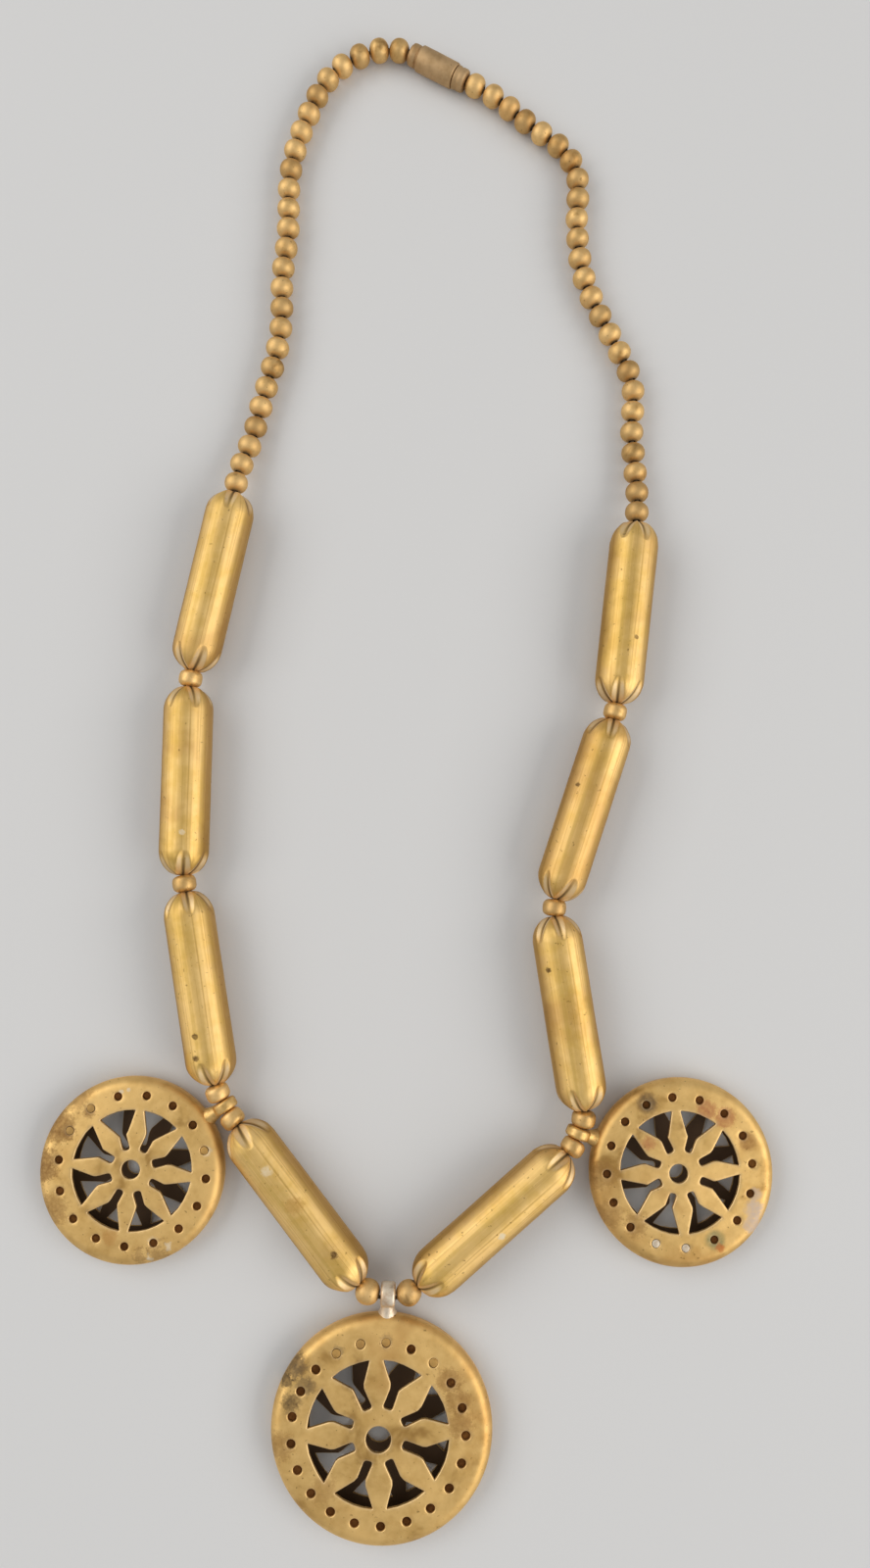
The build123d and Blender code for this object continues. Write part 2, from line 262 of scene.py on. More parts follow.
def aged_brass(name, light, middle, dark, patch, rough, rolled=False, marks=()):
    """Aged brass in three tones on a screen. Patch is the size of its tarnish clouds in mm, a
    rolled piece has the marks of rolling along it and a painted reflection along its top and
    sides, and each mark has the values of Mark. Hollows get painted shade and dirt."""
    material, make = new_material(name)
    place = make.add("ShaderNodeTexCoord", output="Object")
    clouds = make.noise(place, 1000 / patch, 4.0, 0.6, 0.3)
    warmth = make.noise(place, 620 / patch, 3.0, 0.65, 0.5)
    mottle = make.noise(place, 4800 / patch, 3.0, 0.6)
    grain = make.noise(place, grains_per_metre, 2.0, 0.6)
    specks = make.noise(place, specks_per_metre, 2.0, 0.5)
    ragged = (mottle - 0.5) + (specks - 0.5) * 1.3 + (grain - 0.5) * 0.6
    hollow, worn, tint = (make.add("ShaderNodeAttribute", output="Fac", attribute_name=text)
                          for text in ("hollow", "worn", "tint"))

    def aged(shade, pattern, layer):
        """A tone under one more layer."""
        share = make.between(pattern, layer.start, layer.full) * layer.cover
        return make.mix(share, shade, colour(*(layer.tone or dark)))

    tone = make.between(clouds * 0.6 + mottle * 0.4, 0.34, 0.62)
    shade = make.mix(tone, colour(*middle), colour(*light))
    shade = aged(shade, clouds, rolled_cloud if rolled else cloud)
    shade = aged(shade, warmth, warm)
    shade = make.mix(tint * tint_cover, shade, colour(*dark))
    relief = grain * (0.006 * mm) + mottle * (0.04 * mm) + specks * (0.01 * mm)
    if rolled:
        lay = make.add("ShaderNodeAttribute", output="Vector", attribute_name="lay")
        lines = make.noise(make.stretched(lay, (1.4, 13.0, 13.0)), 1.0, 3.0, 0.65)
        bands = make.noise(make.stretched(lay, (0.6, 2.4, 2.4)), 1.0, 2.0, 0.5)
        height = make.add("ShaderNodeSeparateXYZ", {"Vector": lay}, "Z")
        shade = aged(shade, bands, band)
        shade = aged(shade, lines, scratch)
        # Painted reflection: an olive line along each tube's top.
        shade = aged(shade, height + (mottle - 0.5) * 0.03, painted_top_reflection)
        # Painted reflection: the lower sides of each tube turn darker brown.
        shade = aged(shade, height + (mottle - 0.5) * 0.3, painted_side_reflection)
        relief = relief + lines * (0.03 * mm)
    shade = aged(shade, specks, speckle)
    # The dulled metal follows the painted shade and dirt, and the marks.
    tarnish = hollow * 0.5
    # The marks: stains and scuffs, and on the pendants also painted glints and painted shade.
    for mark in (Mark(*values) for values in marks):
        spot = make.vectors("SUBTRACT", place, (mark.x * mm, mark.y * mm, 0))
        away = make.vectors("LENGTH", make.vectors("MULTIPLY", spot, (1, 1, 0)), output="Value")
        edge = away / (mark.reach * mm) + ragged * mark.raggedness
        cover = make.between(edge, stain_and_painted_light.start, stain_and_painted_light.full) * (0.85 + (specks - 0.5) * 1.2)
        cover = cover * (mark.strength * stain_and_painted_light.cover)
        shade = make.mix(cover, shade, colour(*mark.tone))
        tarnish = make.maths("MAXIMUM", tarnish, cover)
    # Painted highlight and wear: the pale flanks of the tube folds are a painted highlight, the
    # pendants' rubbed edges and seam are wear.
    shade = make.mix(worn * wear_and_highlight_cover, shade, colour(*wear_and_highlight_tone))
    # Painted shade and dirt: hollows, folds, the holes of beads and the insides of the pendants are
    # darkened here.
    shade = make.mix(hollow, shade, colour(*shade_and_dirt_tone))
    metal = 1 - hollow * 0.55 - tarnish * 0.35
    gloss = rough + (clouds - 0.5) * 0.22 + tarnish * 0.2
    surface(make, shade, gloss, metal, relief)
    return material


def corners_of(node):
    """The corners of a node's mesh, one array for each of its separate solids."""
    mesh = bmesh.new()
    mesh.from_mesh(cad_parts[node].data)
    bmesh.ops.remove_doubles(mesh, verts=mesh.verts, dist=1e-7)
    mesh.verts.index_update()
    reached = set()
    solids = []
    for first in mesh.verts:
        edge = [] if first.index in reached else [first]
        reached.add(first.index)
        solid = []
        while edge:
            vert = edge.pop()
            solid.append(vert.co[:])
            for link in vert.link_edges:
                near = link.other_vert(vert)
                if near.index not in reached:
                    reached.add(near.index)
                    edge.append(near)
        if solid:
            solids.append(np.array(solid))
    mesh.free()
    return sorted(solids, key=lambda corners: corners[:, 1].min())


def lie_of(node):
    """The middle and the hole's direction of each round piece in a node."""
    lies = []
    for corners in corners_of(node):
        middle = (corners.min(0) + corners.max(0)) / 2
        spread, axes = np.linalg.eigh(np.cov((corners - corners.mean(0)).T))
        odd = 0 if spread[1] - spread[0] > spread[2] - spread[1] else 2
        lies.append((Vector(middle), Vector(axes[:, odd])))
    return lies


def turn_to(axis, roll=0.0):
    """The turn that lays a piece made along X along an axis, rolled about it."""
    sideways = Vector((0, 0, 1)).cross(axis).normalized()
    frame_turn = Matrix((axis, sideways, axis.cross(sideways))).transposed()
    return frame_turn @ Matrix.Rotation(roll, 3, "X")


def turned_tree(name, more_inputs=(), shaping=None):
    """A tree that turns a profile round X, shapes it, sets it on each point and dents it."""
    tree = bpy.data.node_groups.new(name, "GeometryNodeTree")
    inputs = [("Places", "Geometry"), ("Profile", "Object"), ("Sides", "Int"),
              ("Finish", "Material")]
    inputs += [(text, "Float") for text in ("Unevenness", "Dent Size", "Seed", "Dirt Reach",
                                            *more_inputs)]
    for text, kind in inputs:
        tree.interface.new_socket(text, in_out="INPUT", socket_type="NodeSocket" + kind)
    tree.interface.new_socket("Pieces", in_out="OUTPUT", socket_type="NodeSocketGeometry")
    make = Maker(tree)
    given = make.add("NodeGroupInput")
    profile = make.add("GeometryNodeObjectInfo", {"Object": given.other("Profile")}, "Geometry")
    rows = make.add("GeometryNodeAttributeDomainSize", {"Geometry": profile}, component="MESH")
    sheet = make.add("GeometryNodeMeshGrid", {"Size X": 1.0, "Size Y": 1.0, "Vertices X": rows,
                                              "Vertices Y": given.other("Sides") + 1})
    here = make.add("GeometryNodeInputPosition")
    cell = make.add("ShaderNodeSeparateXYZ", {"Vector": here})
    row = make.maths("ROUND", (cell + 0.5) * (rows - 1))
    angle = (cell.other("Y") + 0.5) * 2 * pi
    drawn = {"Geometry": profile, "Value": here, "Index": row}
    drawn = make.add("GeometryNodeSampleIndex", drawn, data_type="FLOAT_VECTOR")
    along = make.add("ShaderNodeSeparateXYZ", {"Vector": drawn})
    radius = along.other("Y")
    across, up = make.maths("COSINE", angle), make.maths("SINE", angle)
    if shaping:
        radius, hollow, worn = shaping(make, given, along, angle, radius)
    else:
        # Painted shade and dirt round the hole: beads darken toward their holes, in the gaps where
        # they meet.
        dirt = given.other("Dirt Reach")
        hollow, worn = make.between(radius, dirt, dirt * 0.55) * 0.85, 0.0
    round_place = make.joined(along, radius * across, radius * up * -1)
    lay = make.joined(along / lay_length, across, up)
    noted = sheet
    for text, kind, value in (("hollow", "FLOAT", hollow), ("worn", "FLOAT", worn),
                              ("lay", "FLOAT_VECTOR", lay)):
        noted = make.add("GeometryNodeStoreNamedAttribute",
                         {"Geometry": noted, "Name": text, "Value": value},
                         data_type=kind, domain="POINT")
    shape = make.add("GeometryNodeSetPosition", {"Geometry": noted, "Position": round_place})
    shape = make.add("GeometryNodeMergeByDistance", {"Geometry": shape, "Distance": weld_distance})
    turn, size = (make.add("GeometryNodeInputNamedAttribute", {"Name": text},
                           data_type="FLOAT_VECTOR") for text in ("turn", "size"))
    turn = make.add("FunctionNodeEulerToRotation", {"Euler": turn})
    pieces = make.add("GeometryNodeInstanceOnPoints", {"Points": given.other("Places"),
                                                       "Instance": shape, "Rotation": turn,
                                                       "Scale": size})
    pieces = make.add("GeometryNodeRealizeInstances", {"Geometry": pieces})
    wander = make.vectors("ADD", make.add("GeometryNodeInputPosition"), given.other("Seed"))
    dents = make.noise(wander, 1 / given.other("Dent Size"), 2.0, 0.5)
    push = make.add("ShaderNodeVectorMath",
                    {0: make.add("GeometryNodeInputNormal"),
                     "Scale": (dents - undented_level) * given.other("Unevenness")},
                    operation="SCALE")
    pieces = make.add("GeometryNodeSetPosition", {"Geometry": pieces, "Offset": push})
    pieces = make.add("GeometryNodeSetShadeSmooth", {"Geometry": pieces})
    pieces = make.add("GeometryNodeSetMaterial", {"Geometry": pieces,
                                                  "Material": given.other("Finish")})
    make.add("NodeGroupOutput", {"Pieces": pieces})
    return tree


def line_object(name, points):
    """A helper mesh of corners in a row, in mm along X and out from it."""
    mesh = bpy.data.meshes.new(name)
    mesh.from_pydata([(x * mm, y * mm, 0) for x, y in points], [], [])
    return added(name, mesh)


class Making(NamedTuple):
    """How turned pieces are made: the sides round them, the depth and width of their dents
    and the reach of the painted shade and dirt from the middle of the hole, in mm, and a seed
    for the dents."""

    finish: bpy.types.Material
    sides: int
    unevenness: float
    dent_size: float
    dirt_reach: float = 0.0
    seed: float = 0.0


class Lie(NamedTuple):
    """Where one turned piece lies and how it is turned and sized, and how dark it is."""

    middle: Vector
    turn: Matrix
    size: tuple = (1, 1, 1)
    tint: float = 0.0


def turned_piece(name, tree, profile, lies, making, replaced=(), more_inputs=None):
    """Runs a tree on the points where pieces lie, and keeps its result as a plain mesh."""
    mesh = bpy.data.meshes.new(name)
    mesh.from_pydata([lie.middle[:] for lie in lies], [], [])
    for text, kind, field, values in (
            ("turn", "FLOAT_VECTOR", "vector", [way for lie in lies for way in lie.turn.to_euler()]),
            ("size", "FLOAT_VECTOR", "vector", [size for lie in lies for size in lie.size]),
            ("tint", "FLOAT", "value", [lie.tint for lie in lies])):
        note = mesh.attributes.new(text, kind, "POINT")
        note.data.foreach_set(field, values)
    piece = added(name, mesh)
    helper = line_object(name + "_profile", profile)
    modifier = piece.modifiers.new("turned", "NODES")
    modifier.node_group = tree
    sockets = {item.name: item.identifier for item in tree.interface.items_tree
               if item.in_out == "INPUT"}
    given = {"Profile": helper, "Finish": making.finish, "Sides": making.sides,
             "Unevenness": making.unevenness * mm, "Dent Size": making.dent_size * mm,
             "Seed": making.seed, "Dirt Reach": making.dirt_reach * mm, **(more_inputs or {})}
    for text, value in given.items():
        modifier[sockets[text]] = value
    evaluated = piece.evaluated_get(bpy.context.evaluated_depsgraph_get())
    made = bpy.data.meshes.new_from_object(evaluated)
    piece.modifiers.remove(modifier)
    piece.data = made
    made.set_sharp_from_angle(angle=radians(sharp_angle))
    bpy.data.objects.remove(helper)
    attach(piece, "root")
    if replaced:
        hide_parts(*replaced)


def bead_profile(length, diameter, fullness):
    """Round a bead's section: over its full sides, and back through its hole."""
    half, outer, inner = length / 2, diameter / 2, bead_hole / 2
    mouth = np.arcsin((inner / outer) ** (fullness / 2))
    over = []
    for t in np.linspace(mouth, pi - mouth, bead_steps):
        across = abs(cos(t)) ** (2 / fullness) * half
        over.append((-across if t < pi / 2 else across, sin(t) ** (2 / fullness) * outer))
    end = over[-1][0]
    return over + [(end * share, inner) for share in (0.5, -0.5, -1)]


chance = np.random.default_rng(7)


def strung(nodes, spread):
    """How the round pieces of some nodes lie, each rolled anyhow and a little off size."""
    lies = []
    for node in nodes:
        for middle, axis in lie_of(node):
            size = [1 - spread * chance.random() for side in range(3)]
            lies.append(Lie(middle, turn_to(axis, chance.uniform(0, 2 * pi)), size,
                            chance.random() ** 2))
    return lies


bead_brass = aged_brass("bead_brass", (236, 200, 138), (218, 180, 116), (150, 112, 62),
                        patch=5.0, rough=0.58)
bead_making = Making(bead_brass, sides=36, unevenness=0.09, dent_size=2.2, dirt_reach=1.15)
turned = turned_tree("turned_pieces")
for side, seed in (("left", 1.0), ("right", 2.0)):
    string = side + "_bead_string"
    turned_piece(side + "_beads", turned, bead_profile(bead_length, bead_diameter, bead_fullness),
                 strung([string], spread=0.03), bead_making._replace(seed=seed),
                 [string])


# Spacers and bail beads: the same round beads beside the bail, and shorter barrels with
# flat drilled ends beside the rings and between the tubes.
spacer_length = 2.95
spacer_diameter = 4.05
spacer_fullness = 3.1
bail_bead_length = 4.1
spacer_nodes = [side + "_" + place + "_bead" for side in ("left", "right")
                for place in ("inner", "outer", "middle", "upper")]
bail_bead_nodes = ["left_bail_bead", "right_bail_bead"]

spacer_brass = aged_brass("spacer_brass", (240, 202, 138), (222, 182, 114), (154, 114, 60),
                          patch=4.0, rough=0.52)
turned_piece("spacers", turned, bead_profile(spacer_length, spacer_diameter, spacer_fullness),
             strung(spacer_nodes, spread=0.02),
             Making(spacer_brass, sides=36, unevenness=0.07, dent_size=2.0, dirt_reach=1.2, seed=3.0),
             spacer_nodes)
turned_piece("bail_beads", turned, bead_profile(bail_bead_length, bead_diameter, bead_fullness),
             strung(bail_bead_nodes, spread=0.01), bead_making._replace(seed=4.0),
             bail_bead_nodes)


# Tube beads: brass sheet rolled into a tube, with both ends slit six times and folded in
# to petals round the hole. The flanks of the folds carry a painted highlight, and the slits a painted
# shade.
tube_diameter = 8.4
tube_length = 32.0
dome_length = 4.2
tip_diameter = 3.3
crimp_count = 6
crimp_length = 4.0
crimp_width = 1.3
crimp_depth = 1.05
petal_bulge = 0.05
facet_depth = 0.16
fold_shift = 0.16
body_steps = 8
dome_steps = 22
slit_offsets = {
    "left": ((-0.18, 0.05), (-0.20, 0.25), (0.13, 0.45), (0.43, 0.10)),
    "right": ((0.25, -0.23), (-0.38, 0.15), (0.35, 0.0), (-0.13, 0.36)),
}
white_spot, dark_spot = (232, 222, 196), (96, 66, 28)
tube_marks = {
    "left": [(-37.1, -16.0, 0.5, 0.5, white_spot), (-22.4, -70.4, 0.9, 0.5, white_spot),
             (-11.4, -83.3, 0.7, 0.8, dark_spot), (-34.3, -49.2, 0.5, 0.7, dark_spot),
             (-34.1, -52.7, 0.6, 0.7, dark_spot), (-17.9, -75.7, 1.6, 0.4, (176, 132, 62))],
    "right": [(15.3, -80.6, 0.6, 0.7, white_spot), (28.4, -8.0, 0.4, 0.6, dark_spot),
              (23.2, -38.6, 0.4, 0.7, dark_spot), (38.6, 16.9, 0.4, 0.6, dark_spot)],
}


def tube_profile():
    """Round a tube's section: over its body and domed ends, and back through its hole."""
    half = tube_length / 2
    body = half - dome_length
    rise = (tube_diameter - tip_diameter) / 2
    arc = (dome_length**2 + rise**2) / (2 * rise)
    dome = [(body + reach, tube_diameter / 2 - arc + (arc**2 - reach**2) ** 0.5)
            for reach in np.linspace(0, dome_length, dome_steps)]
    tip = [(half + 0.06, tip_diameter / 2 - 0.2), (half, tip_diameter / 2 - 0.5),
           (half - 0.3, bead_hole / 2)]
    right = [(x, tube_diameter / 2) for x in np.linspace(0, body, body_steps)[:-1]] + dome + tip
    left = [(-x, radius) for x, radius in reversed(right)][:-1]
    return left + right + [(0, bead_hole / 2), left[0]]


def crimp(make, given, along, angle, radius):
    """Folds a tube's ends in between their petals, no two alike, and flattens its body here
    and there. Gives the radius, a painted shade in the folds and a painted highlight beside them."""
    tipness = 1 - (tube_length / 2 * mm - make.maths("ABSOLUTE", along)) / (crimp_length * mm)
    tipness = make.maths("MAXIMUM", tipness, 0)
    right = make.maths("GREATER_THAN", along, 0)
    twist = right * given.other("Right Twist") + (1 - right) * given.other("Left Twist")
    phase = angle * crimp_count / (2 * pi) + twist
    petal = make.maths("FLOORED_MODULO", make.maths("FLOOR", phase), crimp_count)
    lot = {"ID": petal + right * crimp_count, "Seed": given.other("Seed")}
    lot = make.add("FunctionNodeRandomValue", lot, 1, data_type="FLOAT")
    aside = make.maths("ABSOLUTE", make.maths("FRACT", phase) - 0.5 + (lot - 0.5) * fold_shift)
    off = aside * radius * 2 * pi / crimp_count
    reach = (0.7 + lot * 0.5) * (crimp_width * mm) * tipness ** 0.3 + 1e-6
    fold = make.maths("MAXIMUM", 1 - off / reach, 0)
    depth = (0.8 + lot * 0.3) * (crimp_depth * mm) * tipness ** 0.55 * fold ** 0.9
    lip = (off - reach * 1.25) / (reach * 0.5)
    lip = make.maths("MAXIMUM", 1 - lip * lip, 0)
    bulge = lip * (petal_bulge * mm) * make.between(tipness, 0.05, 0.35)
    ribs = make.joined(along * 9 + given.other("Seed"), make.maths("COSINE", angle) * 1.3,
                       make.maths("SINE", angle) * 1.3)
    level = (make.noise(ribs, 1.0, 1.0) - 0.5) * (facet_depth * mm) * 2 * (1 - tipness)
    formed = radius - depth + bulge + make.maths("MINIMUM", level, 0)
    formed = make.maths("MAXIMUM", formed, bead_hole / 2 * mm)
    outside = make.maths("GREATER_THAN", radius, bead_hole / 2 * mm * 1.1)
    # Painted shade: the bottoms of the folds are darkened.
    hollow = outside * make.between(fold, 0.62, 0.92) * tipness ** 0.6
    flank = make.between(fold, 0.0, 0.15) * make.between(fold, 0.85, 0.55)
    # Painted highlight: the flanks of the folds are made pale.
    worn = outside * flank * make.between(tipness, 0.05, 0.45)
    return outside * formed + (1 - outside) * radius, hollow, worn


tube_brass = {side: aged_brass(side + "_tube_brass", (246, 210, 140), (230, 191, 108),
                               (176, 136, 64), patch=12.0, rough=0.55, rolled=True,
                               marks=tube_marks[side]) for side in ("left", "right")}
crimped = turned_tree("crimped_tubes", ("Left Twist", "Right Twist"), crimp)
for side, first_seed in (("left", 1), ("right", 5)):
    for number, (lower_slit, upper_slit) in enumerate(slit_offsets[side]):
        node = f"{side}_tube_{number + 1}"
        middle, axis = lie_of(node)[0]
        if axis.y < 0:
            axis = -axis
        turned_piece(node + "_sheet", crimped, tube_profile(), [Lie(middle, turn_to(axis))],
                     Making(tube_brass[side], sides=168, unevenness=0.09, dent_size=7.0,
                            seed=float(first_seed + number)),
                     [node], {"Left Twist": lower_slit, "Right Twist": upper_slit})


# Clasp: two turned brass pieces that screw together, a barrel with a rounded neck and a
# narrower end whose stud is hidden in it. Dull, because it lies at the back of the neck.
clasp_diameter = 4.6
barrel_length = 9.3
barrel_neck_diameter = 4.0
barrel_neck_length = 1.9
barrel_bore = 3.2
end_diameter = 4.1
end_length = 2.2
clasp_wall = 0.8
stud_length = 3.4
stud_wall = 0.45
screw_clearance = 0.1

clasp_brass = aged_brass("clasp_brass", (196, 166, 124), (174, 143, 101), (134, 105, 67),
                         patch=5.0, rough=0.62)
clasp_middle, clasp_axis = lie_of("clasp_barrel")[0]
end_middle = lie_of("clasp_screw_end")[0][0]
if (end_middle - clasp_middle).dot(clasp_axis) < 0:
    clasp_axis = -clasp_axis
drilled, bore = bead_hole / 2, barrel_bore / 2
back, front = -barrel_length / 2, barrel_length / 2
neck, full = barrel_neck_diameter / 2, clasp_diameter / 2
neck_edge = back + barrel_neck_length
barrel_points = [
    (back, drilled), (back, 1.2), (back + 0.06, 1.62), (back + 0.30, 1.90), (back + 0.65, neck),
    (neck_edge - 0.45, neck - 0.02), (neck_edge - 0.28, neck - 0.18),
    (neck_edge - 0.10, neck - 0.10), (neck_edge, neck + 0.05), (neck_edge + 0.05, full - 0.12),
    (neck_edge + 0.22, full), (0, full + 0.02), (2.0, full + 0.01), (front - 0.30, full),
    (front - 0.06, full - 0.10), (front, full - 0.3), (front, bore), (back + clasp_wall, bore),
    (back + clasp_wall, drilled), (back, drilled)]
start = front + screw_clearance
stop = start + end_length
stud = bore - screw_clearance
outer = end_diameter / 2
end_points = [
    (stop, drilled), (stop - clasp_wall, drilled), (stop - clasp_wall, stud - stud_wall),
    (start - stud_length, stud - stud_wall), (start - stud_length, stud), (start, stud),
    (start, outer - 0.08), (start + 0.08, outer), (start + 0.50, outer),
    (start + 0.62, outer - 0.10), (start + 0.86, outer - 0.10), (start + 1.00, outer - 0.01),
    (stop - 0.45, outer - 0.02), (stop - 0.15, outer - 0.20), (stop - 0.02, outer - 0.50),
    (stop, outer - 0.8), (stop, drilled)]
for name, node, points, unevenness, seed in (
        ("clasp_barrel_turned", "clasp_barrel", barrel_points, 0.10, 5.0),
        ("clasp_end_turned", "clasp_screw_end", end_points, 0.05, 6.0)):
    turned_piece(name, turned, points, [Lie(clasp_middle, turn_to(clasp_axis))],
                 Making(clasp_brass, sides=64, unevenness=unevenness, dent_size=3.0, seed=seed),
                 [node])


# Pendants: flat boxes, empty inside, of two pressed brass caps, sawn out into eight petals,
# with a row of punched holes round the front. The caps are soldered edge to edge, and the
# inside is painted dark, a painted shade with some old dirt.
pendant_thickness = 4.7
pendant_crown = 0.5
pendant_wall = 0.6
rim_radius = 1.9
petal_count = 8
opening_corner = 0.2
slot_end = 0.5
edge_round = 0.2
saw_wander = 0.06
dirt_depth = 0.42
filling_depth = 0.09
seam_depth = 0.14
plate_spacing = 0.55
plate_margin = 0.35
opening_margin = 0.12
hub_sides = 40
hole_sides = 18
rim_sides = 192
rim_steps = 9
cap_top = pendant_thickness - pendant_crown
outline_step = 0.32
beaten_depth = 0.07
beaten_size = 2.6
beaten_waves = 14
out_of_round = 0.003
seam_reach = 0.25
seam_wear = 0.6
cap_sharp_angle = 50


class Pendant(NamedTuple):
    """What one pendant is made to, in millimetres and degrees."""

    name: str
    diameter: float
    pierced_diameter: float
    hub_hole: float
    hole_circle: float
    hole_size: float
    hole_count: int
    first_hole: float
    hole_drift: float
    drift_peak: float
    petal_turn: float
    back_turn: float
    off_centre: tuple
    hub_off: tuple
    slot_start: float
    slot_width: float
    slot_flare: float
    petal_neck: float
    petal_width: float
    petal_widest: float
    free_side: int
    filled: tuple
    filling: tuple
    marks: tuple


brown, grey, pale = (142, 102, 52), (112, 92, 64), (226, 212, 184)
scuffed, rusty, pinkish = (150, 116, 68), (180, 120, 76), (208, 188, 168)
left_size = Pendant(
    name="left_pendant", diameter=30.4, pierced_diameter=19.5, hub_hole=3.0, hole_circle=24.3,
    hole_size=1.35, hole_count=16, first_hole=82.8, hole_drift=2.8, drift_peak=-82.0,
    petal_turn=-6.5, back_turn=17.0, off_centre=(0.3, 0.25), hub_off=(-0.15, 0.2),
    slot_start=0.355, slot_width=0.13, slot_flare=0.06, petal_neck=0.15, petal_width=0.32,
    petal_widest=0.64, free_side=-1, filled=(13, 14, 3), filling=(204, 164, 96),
    marks=(
        # Painted shade: the first four brown marks darken the left rim, where shade falls.
        (-57.3, -64.1, 3.2, 0.65, brown), (-59.6, -70.4, 3.0, 0.70, brown),
        (-58.1, -77.3, 3.2, 0.50, brown), (-54.7, -59.4, 2.6, 0.45, brown),
        (-40.4, -84.3, 2.0, 0.55, scuffed, 2.0), (-43.0, -85.0, 1.5, 0.5, scuffed, 2.0),
        (-38.6, -83.2, 0.7, 0.7, pale, 2.2), (-41.8, -84.9, 0.6, 0.7, pale, 2.2),
        (-52.2, -61.7, 1.2, 0.6, brown), (-55.4, -65.0, 1.2, 0.6, brown),
        # Painted glints: the two pale marks on this line stand for glints of light at two holes.
        (-32.8, -68.0, 0.9, 0.5, pale), (-41.3, -82.3, 0.9, 0.45, pale),
        (-47.0, -58.5, 0.4, 0.8, pale), (-45.8, -58.2, 0.35, 0.8, pale),
        (-48.1, -81.5, 1.5, 0.35, (176, 120, 56))))
right_size = left_size._replace(
    name="right_pendant", pierced_diameter=19.6, hole_circle=24.0, first_hole=93.9, hole_drift=2.6,
    drift_peak=20.0, petal_turn=2.5, back_turn=14.0, off_centre=(-0.45, 0.25),
    # Painted glint: the near-white tone of this pendant's two filled holes stands for glints on them.
    hub_off=(-0.3, -0.15), free_side=1, filled=(8, 9), filling=(246, 238, 220),
    marks=(
        (39.6, -60.4, 1.9, 0.85, (128, 102, 66), 0.4),
        (49.4, -61.5, 1.9, 0.65, rusty, 0.8), (52.3, -62.6, 1.8, 0.65, rusty, 0.8),
        (55.9, -66.5, 1.7, 0.60, (158, 112, 58), 0.4), (39.6, -66.7, 1.3, 0.60, rusty),
        (56.7, -77.4, 1.7, 0.80, pinkish, 0.7), (56.3, -79.9, 1.6, 0.75, pinkish, 0.7),
        (57.0, -75.0, 1.1, 0.55, pinkish, 0.7),
        (50.2, -82.1, 1.8, 0.70, (150, 142, 96), 0.3),
        # Painted shade: the last three brown marks darken the lower left side, where shade falls.
        (51.0, -83.4, 0.8, 0.60, (196, 112, 52)), (37.5, -79.7, 2.2, 0.50, brown),
        (31.8, -72.0, 2.6, 0.50, brown), (33.2, -78.0, 2.4, 0.45, brown)))
centre_size = left_size._replace(
    name="centre_pendant", diameter=35.8, pierced_diameter=22.8, hub_hole=4.0, hole_circle=28.1,
    hole_size=1.45, hole_count=21, first_hole=84.1, hole_drift=1.0, drift_peak=60.0,
    petal_turn=1.5, back_turn=16.0, off_centre=(-0.5, -0.25), hub_off=(0.05, -0.75),
    slot_start=0.37, slot_width=0.125, petal_neck=0.20, petal_width=0.38, petal_widest=0.68,
    filled=(0, 2, 19, 20),
    marks=(
        (-18.0, -101.7, 2.2, 0.70, grey), (-16.1, -104.7, 1.7, 0.65, grey),
        (-18.4, -107.3, 1.7, 0.65, (96, 74, 46)),
        (-19.5, -104.0, 1.3, 0.70, (84, 66, 44)),
        (6.8, -104.0, 2.2, 0.50, brown), (8.1, -107.0, 2.4, 0.50, brown),
        # Painted shade: the last brown mark on this line darkens the lower left rim, where shade
        # falls.
        (8.7, -110.7, 2.4, 0.45, brown), (-13.1, -120.3, 2.6, 0.35, brown),
        (-11.1, -99.5, 1.2, 0.50, grey), (-3.2, -97.9, 1.2, 0.40, grey),
        # Painted shade: this brown mark darkens the left rim, where shade falls.
        (-20.0, -114.0, 2.4, 0.45, brown)))


def circle(middle, radius, count):
    """Points round a circle."""
    turns = np.arange(count) * 2 * pi / count
    return np.stack([middle[0] + radius * np.cos(turns), middle[1] + radius * np.sin(turns)], 1)


def rounded(corners, radii):
    """A closed outline with its corners rounded and its sides divided."""
    outline = []
    for before, corner, after, radius in zip(np.roll(corners, 1, 0), corners,
                                             np.roll(corners, -1, 0), radii):
        back = before - corner
        on = after - corner
        reach = min(radius, 0.45 * min(np.linalg.norm(back), np.linalg.norm(on)))
        start = corner + back / np.linalg.norm(back) * reach
        stop = corner + on / np.linalg.norm(on) * reach
        for share in (0.0, 0.25, 0.5, 0.75, 1.0):
            outline.append((1 - share) ** 2 * start + 2 * share * (1 - share) * corner
                           + share**2 * stop)
    divided = []
    for start, stop in zip(outline, outline[1:] + outline[:1]):
        pieces = max(1, round(np.linalg.norm(stop - start) / outline_step))
        divided += [start + (stop - start) * piece / pieces for piece in range(pieces)]
    return np.array(divided)


